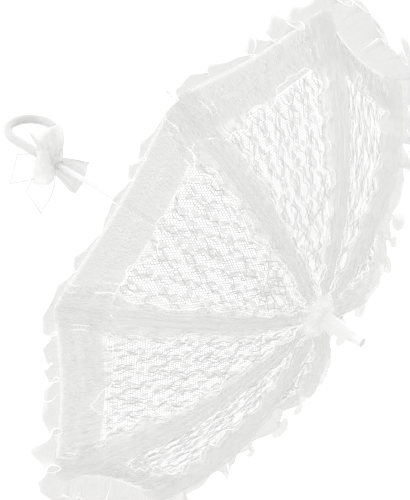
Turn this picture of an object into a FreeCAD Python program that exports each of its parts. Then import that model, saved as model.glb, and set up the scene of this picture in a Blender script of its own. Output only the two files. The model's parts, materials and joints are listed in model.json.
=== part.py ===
import FreeCAD, Part
import Sketcher
import math
import os

# A ladies' lace parasol with eight ribs. Origin: middle of the handle's straight grip, on the shaft
# axis. +Z runs up the shaft to the ferrule and +X points at the free end of the crook. It is drawn open.

doc = FreeCAD.newDocument("LaceParasol")
V = FreeCAD.Vector

SIZES = [
    # alias, value (mm or degrees), meaning
    ("rib_count", 8, "ribs, and so gores"),
    ("first_rib_angle", 27.5, "direction of rib 1 from +X"),
    ("rim_radius", 370, "rib tips from the axis, open"),
    ("rim_height", 361, "rib tips above the grip centre, open"),
    ("dome_depth", 148, "rib pivots above the rib tips, open"),
    ("rib_sag", 34, "outward bow of a rib over its chord"),
    ("pivot_radius", 9, "rib pivots from the axis"),
    ("rib_diameter", 3, "rib and stretcher rod"),
    ("joint_reach", 167, "stretcher joint along the rib from its pivot"),
    ("runner_drop", 75, "runner pivots below the rib pivots, open"),
    ("wire_diameter", 1, "binding wire of the crown and runner"),
    ("hinge_clearance", 0.08, "radial play on a wire or rivet"),
    ("slide_clearance", 0.08, "radial play of the runner on the shaft"),
    ("side_clearance", 0.3, "play beside a blade, tongue or catch"),
    ("blade_thickness", 1.6, "flattened end of a rib or stretcher"),
    ("blade_height", 2.6, "height of the flattened end"),
    ("blade_drop", 0.15, "middle of a rib's flattened end below its pivot"),
    ("blade_length", 7, "flattened end of a rib, from its pivot"),
    ("eye_radius", 2.2, "eye of a rib at its pivot"),
    ("shaft_diameter", 8, "steel tube"),
    ("shaft_wall", 0.7, "steel tube wall"),
    ("shaft_in_handle", 30, "tube held inside the handle"),
    ("shaft_in_ferrule", 32, "tube above the crown, inside the ferrule"),
    ("stop_diameter", 10, "rolled bead that stops the runner"),
    ("stop_height", 2, "rolled bead"),
    ("stop_gap", 0.3, "bead above the open runner"),
    ("grip_length", 92, "straight part of the handle"),
    ("handle_diameter", 14, "moulded handle"),
    ("handle_round", 2, "rounding of the handle's upper end"),
    ("crook_radius", 36, "centreline of the crook"),
    ("crook_sweep", 204, "turn of the crook"),
    ("notch_diameter", 23, "crown and runner head"),
    ("notch_height", 8, "crown and runner head"),
    ("crown_slot_radius", 6.4, "bottom of the crown's slots"),
    ("runner_slot_radius", 7.55, "bottom of the runner's slots"),
    ("runner_wire_radius", 7, "binding wire of the runner"),
    ("runner_length", 45, "runner from its head's top to its lower end"),
    ("sleeve_diameter", 15, "runner sleeve"),
    ("tongue_inset", 1, "stretcher tongue inside the runner's pivot circle"),
    ("tongue_length", 8, "flattened inner end of a stretcher"),
    ("fork_length", 15, "open part of a stretcher's fork"),
    ("fork_web", 3, "solid part of the fork behind its opening"),
    ("cheek_thickness", 0.8, "each cheek of the fork"),
    ("cheek_height", 3.2, "each cheek of the fork"),
    ("rivet_diameter", 1.2, "rivet through the rib"),
    ("rivet_head", 2.6, "rivet heads"),
    ("rivet_proud", 0.5, "each rivet head past the fork"),
    ("catch_thickness", 1.6, "spring catch"),
    ("catch_height", 9, "spring catch"),
    ("catch_reach", 2.3, "catch out of the tube"),
    ("catch_depth", 2, "catch inside the tube"),
    ("catch_gap", 2, "top catch below the open runner"),
    ("catch_bevel", 1, "square part of the catch above its slope"),
    ("bottom_catch_drop", 198, "bottom catch below the rim plane"),
    ("keyway_clearance", 0.4, "runner keyway over a catch"),
    ("tip_ball", 6, "ball on a rib tip"),
    ("tip_sleeve", 4, "socket of a rib tip"),
    ("tip_sleeve_length", 8, "socket of a rib tip"),
    ("ferrule_length", 62, "tapered spire"),
    ("ferrule_base", 26, "spire at the crown"),
    ("ferrule_end", 14, "spire at the cap"),
    ("ferrule_swell", 1.5, "outward swell of the taper"),
    ("cap_diameter", 13, "cylindrical end cap"),
    ("cap_length", 15, "cylindrical end cap"),
    ("cap_round", 1, "rounded edge of the cap"),
    ("spigot_diameter", 6, "cap's spigot in the spire"),
    ("spigot_length", 9, "cap's spigot in the spire"),
    ("cloth_lift", 2.2, "cloth above the rib centreline"),
    ("cloth_thickness", 1.2, "lace, organza border and their loose lie"),
    ("seam_gap", 0.15, "half the gap between neighbouring gores"),
    ("gore_start", 13.5, "inner edge of the gores from the axis"),
    ("hem_inset", 9.5, "hem before the rib tip, along the rib"),
    ("ruffle_start", 36, "inner end of a seam ruffle, along the rib"),
    ("ruffle_inner_width", 9, "half the ruffle at its inner end"),
    ("ruffle_outer_width", 30, "half the ruffle at the hem"),
    ("ruffle_lift", 0.5, "ruffle above the gore"),
    ("ruffle_thickness", 5, "puffed height of the ruffle"),
    ("frill_lift", 4.2, "rim frill above the rib centreline"),
    ("frill_length", 46, "rim frill from the hem outwards"),
    ("frill_thickness", 8, "puffed height of the rim frill"),
    ("frill_droop", 12, "rim frill below horizontal"),
    ("rosette_radius", 30, "gathered cloth round the ferrule, at its foot"),
    ("rosette_top", 18, "gathered cloth round the ferrule, at its top"),
    ("rosette_height", 17, "gathered cloth round the ferrule"),
    ("rosette_gap", 0.5, "rosette from the ferrule and gores"),
    ("bow_drop", 10, "middle of the bow knot below the handle's upper end"),
    ("knot_thickness", 3.5, "cloth of the knot round the handle"),
    ("knot_length", 13, "knot along the handle"),
    ("loop_length", 46, "bow loop from the knot"),
    ("loop_width", 30, "bow loop"),
    ("loop_thickness", 9, "bow loop"),
    ("tail_length", 62, "bow tail from the knot"),
    ("tail_width", 26, "bow tail"),
    ("tail_thickness", 3, "bow tail"),
    ("cloth_gap", 0.3, "soft cloth from hard pieces"),
    ("overrun", 1, "a tool past the surface that it opens, and a joined end inside its neighbour"),
]

sheet = doc.addObject("Spreadsheet::Sheet", "Sizes")
for row, (alias, value, meaning) in enumerate(SIZES, start=1):
    sheet.set(f"A{row}", meaning)
    sheet.set(f"B{row}", str(value))
    sheet.setAlias(f"B{row}", alias)
doc.recompute()


def size(alias):
    return float(sheet.get(alias))


def of(formula):
    """Value of a formula whose names are aliases of the sheet, written with Sizes. before each."""
    return float(sheet.evalExpression(formula.replace("Sizes.", "")))


# Heights along the shaft, as formulas of the sheet.
CROWN = "(Sizes.rim_height + Sizes.dome_depth)"
RUNNER = f"({CROWN} - Sizes.runner_drop)"
HEAD = "Sizes.notch_height / 2"
CAP_BASE = f"({CROWN} + {HEAD} + Sizes.ferrule_length)"
TOP_CATCH = f"({RUNNER} + {HEAD} - Sizes.runner_length - Sizes.catch_gap - Sizes.catch_height / 2)"
BOTTOM_CATCH = "(Sizes.rim_height - Sizes.bottom_catch_drop)"
BOW = "(Sizes.grip_length / 2 - Sizes.bow_drop)"
RIB_STEP = "(360 / Sizes.rib_count)"
CATCH_ANGLE = f"(Sizes.first_rib_angle - {RIB_STEP} / 2)"
CATCH_TIP = "(Sizes.shaft_diameter / 2 + Sizes.catch_reach)"

COUNT = int(size("rib_count"))
STEP = 360.0 / COUNT
pieces = []


def bind(obj, **formulas):
    for prop, formula in formulas.items():
        obj.setExpression(prop, str(formula))
    return obj


def primitive(kind, name, height=None, **formulas):
    obj = bind(doc.addObject(kind, name), **formulas)
    if height:
        obj.setExpression("Placement.Base.z", height)
    return obj


def boolean(kind, name, first, *others):
    """A cut or fusion of objects already in the document."""
    obj = doc.addObject(kind, name)
    if kind == "Part::Cut":
        obj.Base, obj.Tool = first, others[0]
    else:
        obj.Shapes = [first, *others]
    return obj


def piece(obj, label, turn=None):
    """Names a finished sub-part and turns it about the shaft by a formula."""
    obj.Label = label
    if turn:
        obj.Placement = FreeCAD.Placement(V(), FreeCAD.Rotation(V(0, 0, 1), 1))
        obj.setExpression("Placement.Rotation.Angle", turn)
    pieces.append(obj)
    return obj


def solid_piece(shape, label):
    obj = doc.addObject("Part::Feature", label)
    obj.Shape = shape
    return piece(obj, label)


def new_body(name):
    return doc.addObject("PartDesign::Body", name)


def origin_of(body, role):
    return next(f for f in body.Origin.OriginFeatures if f.Role == role)


def sketch_on(body, role, name):
    sketch = body.newObject("Sketcher::SketchObject", name)
    sketch.AttachmentSupport = [(origin_of(body, role), "")]
    sketch.MapMode = "FlatFace"
    return sketch


def pin_point(sketch, geometry, point, x, y):
    """Holds a sketch point at two formulas, measured from the sketch's origin."""
    for kind, formula in (("DistanceX", x), ("DistanceY", y)):
        index = sketch.addConstraint(Sketcher.Constraint(kind, -1, 1, geometry, point, of(formula)))
        sketch.setExpression(f"Constraints[{index}]", formula)


def outline(sketch, corners):
    """Closed polygon whose corners are pairs of formulas."""
    points = [V(of(x), of(y), 0) for x, y in corners]
    first = sketch.GeometryCount
    for start, end in zip(points, points[1:] + points[:1]):
        sketch.addGeometry(Part.LineSegment(start, end))
    last = len(points) - 1
    for i in range(len(points)):
        after = first + (i + 1 if i < last else 0)
        sketch.addConstraint(Sketcher.Constraint("Coincident", first + i, 2, after, 1))
    for i, (x, y) in enumerate(corners):
        pin_point(sketch, first + i, 1, x, y)


def rectangle(sketch, low_x, low_y, high_x, high_y):
    outline(sketch, [(low_x, low_y), (high_x, low_y), (high_x, high_y), (low_x, high_y)])


def circle(sketch, x, y, radius):
    index = sketch.addGeometry(Part.Circle(V(of(x), of(y), 0), V(0, 0, 1), of(radius)))
    pin_point(sketch, index, 3, x, y)
    held = sketch.addConstraint(Sketcher.Constraint("Radius", index, of(radius)))
    sketch.setExpression(f"Constraints[{held}]", radius)


def arc(sketch, centre, start, end, radius):
    """Arc from start round to end, counter-clockwise, held by its ends and radius."""
    cx, cy = centre
    angles = [math.atan2(p[1] - cy, p[0] - cx) for p in ([of(v) for v in start], [of(v) for v in end])]
    index = sketch.addGeometry(Part.ArcOfCircle(Part.Circle(V(cx, cy, 0), V(0, 0, 1), of(radius)), *angles))
    pin_point(sketch, index, 1, *start)
    pin_point(sketch, index, 2, *end)
    held = sketch.addConstraint(Sketcher.Constraint("Radius", index, of(radius)))
    sketch.setExpression(f"Constraints[{held}]", radius)
    return index


def feature(body, kind, name, profile, **formulas):
    obj = body.newObject(kind, name)
    obj.Profile = profile
    return bind(obj, **formulas)


def symmetric(body, kind, name, profile, length):
    obj = feature(body, kind, name, profile, Length=length)
    obj.SideType = "Symmetric"
    return obj


def revolve(body, kind, name, profile):
    obj = feature(body, kind, name, profile)
    obj.ReferenceAxis = (profile, ["V_Axis"])
    obj.Angle = 360
    return obj


# The rib's arc in its own radial plane, and where the linkage stands open and folded.
PIVOT = V(size("pivot_radius"), 0, of(CROWN))
TIP = V(size("rim_radius"), 0, size("rim_height"))
CHORD = TIP - PIVOT
BEND = (CHORD.Length**2 / 4 + size("rib_sag") ** 2) / (2 * size("rib_sag"))
OUTWARD = V(-CHORD.z, 0, CHORD.x).normalize()
CENTRE = (PIVOT + TIP) * 0.5 - OUTWARD * (BEND - size("rib_sag"))
PIVOT_ANGLE = math.atan2(PIVOT.z - CENTRE.z, PIVOT.x - CENTRE.x)
ARC_LENGTH = BEND * 2 * math.asin(CHORD.Length / 2 / BEND)


def on_rib(distance, lift=0.0):
    """Point of the rib's plane: distance along the arc from its pivot, lift above the centreline."""
    angle = PIVOT_ANGLE - distance / BEND
    return CENTRE + V(math.cos(angle), 0, math.sin(angle)) * (BEND + lift)


def turned(point, degrees, shift=0.0):
    """A point of the rib's plane, moved shift sideways and turned about the shaft."""
    rotation = FreeCAD.Rotation(V(0, 0, 1), degrees)
    return rotation.multVec(point + V(0, shift, 0))


JOINT = on_rib(size("joint_reach"))
RUNNER_PIVOT = V(size("pivot_radius"), 0, of(RUNNER))
STRETCHER = (RUNNER_PIVOT - JOINT).Length
STRETCHER_ANGLE = math.degrees(math.atan2(RUNNER_PIVOT.z - JOINT.z, RUNNER_PIVOT.x - JOINT.x))


for row, (alias, value) in enumerate(
    [
        ("rib_bend", BEND),
        ("rib_centre_x", CENTRE.x),
        ("rib_centre_z", CENTRE.z),
        ("joint_x", JOINT.x),
        ("joint_z", JOINT.z),
        ("stretcher_length", STRETCHER),
        ("stretcher_angle", STRETCHER_ANGLE),
    ],
    start=len(SIZES) + 1,
):
    sheet.set(f"A{row}", "worked out from the sizes above")
    sheet.set(f"B{row}", f"{value:.9f}")
    sheet.setAlias(f"B{row}", alias)
doc.recompute()


def rib_angle(index):
    return f"Sizes.first_rib_angle + {index} * {RIB_STEP}"


# Shaft, handle and ferrule.


def make_shaft():
    foot = "(Sizes.grip_length / 2 - Sizes.shaft_in_handle)"
    length = f"{CROWN} + {HEAD} + Sizes.shaft_in_ferrule - {foot}"
    outer = "Sizes.shaft_diameter / 2"
    tube = primitive("Part::Cylinder", "ShaftTube", foot, Radius=outer, Height=length)
    stop_base = f"{RUNNER} + {HEAD} + Sizes.stop_gap"
    bead_radius = "Sizes.stop_diameter / 2"
    bead = primitive("Part::Cylinder", "ShaftStop", stop_base, Radius=bead_radius, Height="Sizes.stop_height")
    inner = f"{outer} - Sizes.shaft_wall"
    bore_foot, bore_length = f"{foot} - Sizes.overrun", f"{length} + 2 * Sizes.overrun"
    bore = primitive("Part::Cylinder", "ShaftBore", bore_foot, Radius=inner, Height=bore_length)
    wide = "(Sizes.catch_thickness + 2 * Sizes.side_clearance)"
    tall = "(Sizes.catch_height + 2 * Sizes.side_clearance)"
    windows = []
    for name, height in (("TopWindow", TOP_CATCH), ("BottomWindow", BOTTOM_CATCH)):
        window = primitive("Part::Box", name, f"{height} - {tall} / 2", Length=outer, Width=wide, Height=tall)
        # the window is cut on the catch's side only: the box starts just past the axis
        cos, sin = f"cos({CATCH_ANGLE})", f"sin({CATCH_ANGLE})"
        window.Placement.Rotation = FreeCAD.Rotation(V(0, 0, 1), 1)
        window.setExpression("Placement.Rotation.Angle", CATCH_ANGLE)
        window.setExpression("Placement.Base.x", f"{sin} * {wide} / 2 + {cos} * Sizes.overrun")
        window.setExpression("Placement.Base.y", f"-{cos} * {wide} / 2 + {sin} * Sizes.overrun")
        windows.append(window)
    rod = boolean("Part::MultiFuse", "ShaftBeaded", tube, bead)
    hollow = boolean("Part::MultiFuse", "ShaftHollow", bore, *windows)
    piece(boolean("Part::Cut", "Shaft", rod, hollow), "shaft")


def is_handle_end(edge, top):
    """True for the outer rim at the top of the grip and at the free end of the crook."""
    if abs(edge.Curve.Radius - size("handle_diameter") / 2) > 0.01:
        return False
    return abs(edge.BoundBox.ZMin - top) < 0.01 or edge.BoundBox.XMin > size("crook_radius")


def make_handle():
    body = new_body("Handle")
    path = sketch_on(body, "XZ_Plane", "HandlePath")
    half = "Sizes.grip_length / 2"
    line = path.addGeometry(Part.LineSegment(V(0, of(half), 0), V(0, -of(half), 0)))
    pin_point(path, line, 1, "0", half)
    pin_point(path, line, 2, "0", f"-{half}")
    end = (
        "Sizes.crook_radius * (1 - cos(Sizes.crook_sweep))",
        f"-{half} - Sizes.crook_radius * sin(Sizes.crook_sweep)",
    )
    arc(path, (size("crook_radius"), -of(half)), ("0", f"-{half}"), end, "Sizes.crook_radius")
    section = sketch_on(body, "XY_Plane", "HandleSection")
    section.setExpression("AttachmentOffset.Base.z", half)
    circle(section, "0", "0", "Sizes.handle_diameter / 2")
    doc.recompute()
    crook = feature(body, "PartDesign::AdditivePipe", "Crook", section)
    crook.Spine = path
    doc.recompute()
    socket = sketch_on(body, "XY_Plane", "SocketSection")
    socket.setExpression("AttachmentOffset.Base.z", half)
    circle(socket, "0", "0", "Sizes.shaft_diameter / 2")
    bore = feature(body, "PartDesign::Pocket", "Socket", socket, Length="Sizes.shaft_in_handle")
    doc.recompute()
    rims = [
        f"Edge{i}"
        for i, edge in enumerate(body.Shape.Edges, start=1)
        if edge.Closed and is_handle_end(edge, of(half))
    ]
    ends = body.newObject("PartDesign::Fillet", "RoundedEnds")
    ends.Base = (bore, rims)
    ends.setExpression("Radius", "Sizes.handle_round")
    piece(body, "handle")


def make_ferrule():
    body = new_body("Ferrule")
    profile = sketch_on(body, "XZ_Plane", "FerruleProfile")
    low, high = f"{CROWN} + {HEAD}", CAP_BASE
    base, end = "Sizes.ferrule_base / 2", "Sizes.ferrule_end / 2"
    bore, spigot = "Sizes.shaft_diameter / 2", "Sizes.spigot_diameter / 2"
    seat = f"{low} + Sizes.shaft_in_ferrule"
    sides = [(end, high), (spigot, high), (spigot, seat), (bore, seat), (bore, low), (base, low)]
    points = [V(of(x), of(y), 0) for x, y in sides]
    for start, finish in zip(points, points[1:]):
        profile.addGeometry(Part.LineSegment(start, finish))
    for i in range(len(points) - 2):
        profile.addConstraint(Sketcher.Constraint("Coincident", i, 2, i + 1, 1))
    for i, (x, y) in enumerate(sides[:-1]):
        pin_point(profile, i, 1, x, y)
    pin_point(profile, len(points) - 2, 2, *sides[-1])
    span = f"((({base}) - ({end})) ^ 2 + Sizes.ferrule_length ^ 2)"
    bend = f"({span} / 4 + Sizes.ferrule_swell ^ 2) / (2 * Sizes.ferrule_swell)"
    middle = (points[0] + points[-1]) * 0.5
    across = points[0] - points[-1]
    inward = V(-across.y, across.x, 0).normalize()
    centre = middle + inward * (of(bend) - size("ferrule_swell"))
    arc(profile, (centre.x, centre.y), sides[-1], sides[0], bend)
    revolve(body, "PartDesign::Revolution", "Spire", profile)
    piece(body, "ferrule")


def make_cap():
    body = new_body("FerruleTip")
    profile = sketch_on(body, "XZ_Plane", "CapProfile")
    top = f"{CAP_BASE} + Sizes.cap_length"
    wide, narrow = "Sizes.cap_diameter / 2", "Sizes.spigot_diameter / 2"
    foot = f"{CAP_BASE} - Sizes.spigot_length"
    outline(
        profile, [("0", foot), (narrow, foot), (narrow, CAP_BASE), (wide, CAP_BASE), (wide, top), ("0", top)]
    )
    turned_cap = revolve(body, "PartDesign::Revolution", "Cap", profile)
    doc.recompute()
    edge = next(
        f"Edge{i}"
        for i, e in enumerate(body.Shape.Edges, start=1)
        if e.Closed and e.BoundBox.ZMin > of(top) - 0.01
    )
    edges = body.newObject("PartDesign::Fillet", "RoundedCap")
    edges.Base = (turned_cap, [edge])
    edges.setExpression("Radius", "Sizes.cap_round")
    piece(body, "ferrule_tip")


# Crown and runner: slotted heads, each with a binding wire laid in its groove.


def slotted_head(name, profile_corners, height, slot_bottom, slot_width, wire_radius):
    """Turned body with a slot for each rib or stretcher and a groove for the binding wire."""
    body = new_body(name)
    profile = sketch_on(body, "XZ_Plane", f"{name}Profile")
    outline(profile, profile_corners)
    revolve(body, "PartDesign::Revolution", f"{name}Turned", profile)
    doc.recompute()
    slot = sketch_on(body, "XZ_Plane", f"{name}Slot")
    beyond = "(Sizes.notch_diameter / 2 + Sizes.overrun)"
    low, high = f"{height} - {HEAD} - Sizes.overrun", f"{height} + {HEAD} + Sizes.overrun"
    rectangle(slot, slot_bottom, low, beyond, high)
    cut = symmetric(body, "PartDesign::Pocket", f"{name}SlotCut", slot, slot_width)
    doc.recompute()
    ring = body.newObject("PartDesign::PolarPattern", f"{name}Slots")
    ring.Originals = [cut]
    ring.Axis = (origin_of(body, "Z_Axis"), [""])
    ring.Angle = 360
    ring.setExpression("Occurrences", "Sizes.rib_count")
    body.Tip = ring
    doc.recompute()
    groove = sketch_on(body, "XZ_Plane", f"{name}Groove")
    half = "(Sizes.wire_diameter / 2)"
    rectangle(groove, f"{wire_radius} - {half}", f"{height} - {half}", beyond, f"{height} + {half}")
    revolve(body, "PartDesign::Groove", f"{name}WireGroove", groove)
    doc.recompute()
    return body


def head_corners(height, bore):
    wide = "Sizes.notch_diameter / 2"
    low, high = f"{height} - {HEAD}", f"{height} + {HEAD}"
    return [(bore, low), (wide, low), (wide, high), (bore, high)]


def make_crown():
    slot = "Sizes.blade_thickness + 2 * Sizes.side_clearance"
    corners = head_corners(CROWN, "Sizes.shaft_diameter / 2")
    body = slotted_head("Crown", corners, CROWN, "Sizes.crown_slot_radius", slot, "Sizes.pivot_radius")
    piece(body, "crown", "Sizes.first_rib_angle")
    wire = primitive(
        "Part::Torus", "CrownWire", CROWN, Radius1="Sizes.pivot_radius", Radius2="Sizes.wire_diameter / 2"
    )
    piece(wire, "crown_wire")


def make_runner():
    slot = "Sizes.rib_diameter + 2 * Sizes.side_clearance"
    bore = "(Sizes.shaft_diameter / 2 + Sizes.slide_clearance)"
    wide, sleeve = "Sizes.notch_diameter / 2", "Sizes.sleeve_diameter / 2"
    low, high = f"{RUNNER} - {HEAD}", f"{RUNNER} + {HEAD}"
    foot = f"{high} - Sizes.runner_length"
    corners = [(bore, foot), (sleeve, foot), (sleeve, low), (wide, low), (wide, high), (bore, high)]
    bottom, wire_at = "Sizes.runner_slot_radius", "Sizes.runner_wire_radius"
    body = slotted_head("Runner", corners, RUNNER, bottom, slot, wire_at)
    keyway = sketch_on(body, "XY_Plane", "Keyway")
    wide_key = "(Sizes.catch_thickness / 2 + Sizes.keyway_clearance)"
    turn = f"({RIB_STEP} / 2)"
    near, far = f"({bore} - Sizes.overrun)", f"({CATCH_TIP} + Sizes.keyway_clearance)"
    corners = [(near, f"(-{wide_key})"), (far, f"(-{wide_key})"), (far, wide_key), (near, wide_key)]
    cos, sin = f"cos({turn})", f"sin({turn})"
    outline(keyway, [(f"{r} * {cos} + {w} * {sin}", f"{w} * {cos} - {r} * {sin}") for r, w in corners])
    way = feature(body, "PartDesign::Pocket", "KeywayCut", keyway)
    way.Type = "ThroughAll"
    way.SideType = "Symmetric"
    doc.recompute()
    piece(body, "runner", "Sizes.first_rib_angle")
    wire = primitive(
        "Part::Torus", "RunnerWire", RUNNER, Radius1=wire_at, Radius2="Sizes.wire_diameter / 2"
    )
    piece(wire, "runner_wire")


def make_catch(name, label, height):
    body = new_body(name)
    profile = sketch_on(body, "XZ_Plane", f"{name}Profile")
    low, high = f"{height} - Sizes.catch_height / 2", f"{height} + Sizes.catch_height / 2"
    inner = "Sizes.shaft_diameter / 2 - Sizes.shaft_wall - Sizes.catch_depth"
    skin = "Sizes.shaft_diameter / 2"
    bevel = f"{high} - Sizes.catch_bevel"
    outline(profile, [(inner, low), (skin, low), (CATCH_TIP, bevel), (CATCH_TIP, high), (inner, high)])
    symmetric(body, "PartDesign::Pad", f"{name}Plate", profile, "Sizes.catch_thickness")
    piece(body, label, CATCH_ANGLE)


# Ribs, their tips and the stretchers.


def make_rib(index):
    body = new_body(f"Rib{index}")
    path = sketch_on(body, "XZ_Plane", f"RibPath{index}")
    tip, pivot = ("Sizes.rim_radius", "Sizes.rim_height"), ("Sizes.pivot_radius", CROWN)
    arc(path, (CENTRE.x, CENTRE.z), tip, pivot, "Sizes.rib_bend")
    section = sketch_on(body, "YZ_Plane", f"RibSection{index}")
    section.setExpression("AttachmentOffset.Base.z", "Sizes.pivot_radius")
    circle(section, "0", CROWN, "Sizes.rib_diameter / 2")
    doc.recompute()
    rod = feature(body, "PartDesign::AdditivePipe", f"RibRod{index}", section)
    rod.Spine = path
    doc.recompute()
    clear = sketch_on(body, "XZ_Plane", f"RibEnd{index}")
    circle(clear, *pivot, "Sizes.blade_length")
    symmetric(body, "PartDesign::Pocket", f"RibEndCut{index}", clear, "Sizes.rib_diameter * 2")
    doc.recompute()
    eye = sketch_on(body, "XZ_Plane", f"RibEye{index}")
    circle(eye, *pivot, "Sizes.eye_radius")
    symmetric(body, "PartDesign::Pad", f"RibEyePad{index}", eye, "Sizes.blade_thickness")
    half, reach = "Sizes.blade_height / 2", "Sizes.blade_length + Sizes.overrun"
    blade = sketch_on(body, "XZ_Plane", f"RibBlade{index}")
    x, z = pivot
    low, high = f"{z} - {half} - Sizes.blade_drop", f"{z} + {half} - Sizes.blade_drop"
    rectangle(blade, x, low, f"{x} + {reach}", high)
    symmetric(body, "PartDesign::Pad", f"RibBladePad{index}", blade, "Sizes.blade_thickness")
    doc.recompute()
    holes = sketch_on(body, "XZ_Plane", f"RibHoles{index}")
    circle(holes, *pivot, "Sizes.wire_diameter / 2 + Sizes.hinge_clearance")
    circle(holes, "Sizes.joint_x", "Sizes.joint_z", "Sizes.rivet_diameter / 2 + Sizes.hinge_clearance")
    symmetric(body, "PartDesign::Pocket", f"RibDrilling{index}", holes, "Sizes.rib_diameter * 2")
    doc.recompute()
    piece(body, f"rib_{index}", rib_angle(index - 1))


def make_rib_tip(index):
    """Ball with a socket that the rod ends in, standing on the end of the arc."""
    lean = 180 - math.degrees(PIVOT_ANGLE - ARC_LENGTH / BEND)
    angle = size("first_rib_angle") + (index - 1) * STEP
    reach = "Sizes.tip_sleeve_length"
    socket = primitive(
        "Part::Cylinder", f"TipSocket{index}", f"-{reach}", Radius="Sizes.tip_sleeve / 2", Height=reach
    )
    ball = primitive("Part::Sphere", f"TipBall{index}", Radius="Sizes.tip_ball / 2")
    bore, depth = "Sizes.rib_diameter / 2 + Sizes.hinge_clearance", f"{reach} + Sizes.overrun"
    rod = primitive("Part::Cylinder", f"TipBore{index}", f"-({depth})", Radius=bore, Height=depth)
    whole = boolean("Part::MultiFuse", f"TipWhole{index}", socket, ball)
    tip = boolean("Part::Cut", f"Tip{index}", whole, rod)
    # the socket follows the rod's last stretch, so it leans with the arc's tangent there
    way = FreeCAD.Rotation(V(0, 0, 1), angle) * FreeCAD.Rotation(V(0, 1, 0), lean)
    tip.Placement = FreeCAD.Placement(turned(TIP, angle), way)
    piece(tip, f"rib_tip_{index}")


def make_stretcher(index):
    """Rod with a fork and rivet at the rib and a flat tongue at the runner, drawn along its own X."""
    body = new_body(f"Stretcher{index}")
    fork, long = "Sizes.fork_length", "Sizes.stretcher_length"
    inner_end = f"({long} + Sizes.tongue_inset - Sizes.blade_height / 2)"
    cheek, blade = "Sizes.cheek_height / 2", "Sizes.blade_height / 2"
    gap = "(Sizes.rib_diameter + 2 * Sizes.side_clearance)"
    across = f"({gap} + 2 * Sizes.cheek_thickness)"

    sides = sketch_on(body, "XZ_Plane", f"ForkSides{index}")
    rectangle(sides, "0", f"-{cheek}", f"{fork} + Sizes.fork_web", cheek)
    symmetric(body, "PartDesign::Pad", f"ForkPad{index}", sides, across)
    ends = sketch_on(body, "XZ_Plane", f"ForkEnds{index}")
    circle(ends, "0", "0", cheek)
    symmetric(body, "PartDesign::Pad", f"ForkEndPad{index}", ends, across)
    heads = sketch_on(body, "XZ_Plane", f"RivetHeads{index}")
    circle(heads, "0", "0", "Sizes.rivet_head / 2")
    symmetric(body, "PartDesign::Pad", f"RivetHeadPad{index}", heads, f"{across} + 2 * Sizes.rivet_proud")
    doc.recompute()
    throat = sketch_on(body, "XZ_Plane", f"ForkThroat{index}")
    past = f"({cheek} + Sizes.overrun)"
    rectangle(throat, f"-{past}", f"-{past}", fork, past)
    symmetric(body, "PartDesign::Pocket", f"ForkGap{index}", throat, gap)
    doc.recompute()
    rivet = sketch_on(body, "XZ_Plane", f"Rivet{index}")
    circle(rivet, "0", "0", "Sizes.rivet_diameter / 2")
    symmetric(body, "PartDesign::Pad", f"RivetPad{index}", rivet, f"{gap} + Sizes.cheek_thickness")
    rod = sketch_on(body, "YZ_Plane", f"StretcherRod{index}")
    rod.setExpression("AttachmentOffset.Base.z", f"{fork} + Sizes.overrun")
    circle(rod, "0", "0", "Sizes.rib_diameter / 2")
    length = f"{long} - {fork} - Sizes.tongue_length - Sizes.overrun"
    feature(body, "PartDesign::Pad", f"StretcherRodPad{index}", rod, Length=length)
    tongue = sketch_on(body, "XZ_Plane", f"Tongue{index}")
    foot = f"{long} - Sizes.tongue_length - Sizes.overrun"
    rectangle(tongue, foot, f"-{blade}", inner_end, blade)
    symmetric(body, "PartDesign::Pad", f"TonguePad{index}", tongue, "Sizes.blade_thickness")
    nose = sketch_on(body, "XZ_Plane", f"TongueNose{index}")
    circle(nose, inner_end, "0", blade)
    symmetric(body, "PartDesign::Pad", f"NosePad{index}", nose, "Sizes.blade_thickness")
    doc.recompute()
    angle = size("first_rib_angle") + (index - 1) * STEP
    lean = FreeCAD.Rotation(V(0, -1, 0), STRETCHER_ANGLE)
    body.Placement = FreeCAD.Placement(turned(JOINT, angle), FreeCAD.Rotation(V(0, 0, 1), angle) * lean)
    piece(body, f"stretcher_{index}")


# Soft pieces: plain closed solids of the cloth's outer shape.


def band(start, end, low, high, degrees, shift):
    """Closed wire in a rib's plane between two arcs over the rib, moved shift sideways."""
    middle = (start + end) / 2
    corners = [(start, low), (middle, low), (end, low), (end, high), (middle, high), (start, high)]
    place = [turned(on_rib(*corner), degrees, shift) for corner in corners]
    edges = [
        Part.Arc(*place[:3]).toShape(),
        Part.LineSegment(place[2], place[3]).toShape(),
        Part.Arc(*place[3:]).toShape(),
        Part.LineSegment(place[5], place[0]).toShape(),
    ]
    return Part.Wire(edges)


def along_rib(radius):
    """Distance along the arc at which the rib is radius from the shaft's axis."""
    return BEND * (PIVOT_ANGLE - math.acos((radius - CENTRE.x) / BEND))


def make_gore(index):
    """Lace panel between this rib and the next, straight across from rib to rib."""
    low = size("cloth_lift")
    high = low + size("cloth_thickness")
    start, end = along_rib(size("gore_start")), ARC_LENGTH - size("hem_inset")
    angle, gap = size("first_rib_angle") + (index - 1) * STEP, size("seam_gap")
    near = band(start, end, low, high, angle, gap)
    far = band(start, end, low, high, angle + STEP, -gap)
    solid_piece(Part.makeLoft([near, far], True, True), f"gore_{index}")


def beside_rib(distance, lift, width, degrees):
    """Point over the canopy, width sideways of the rib at degrees, along the straight way to the next rib."""
    here = on_rib(distance, lift)
    other = degrees + math.copysign(STEP, width)
    fraction = abs(width) / (2 * here.x * math.sin(math.radians(STEP / 2)))
    return turned(here, degrees) * (1 - fraction) + turned(here, other) * fraction


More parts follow.
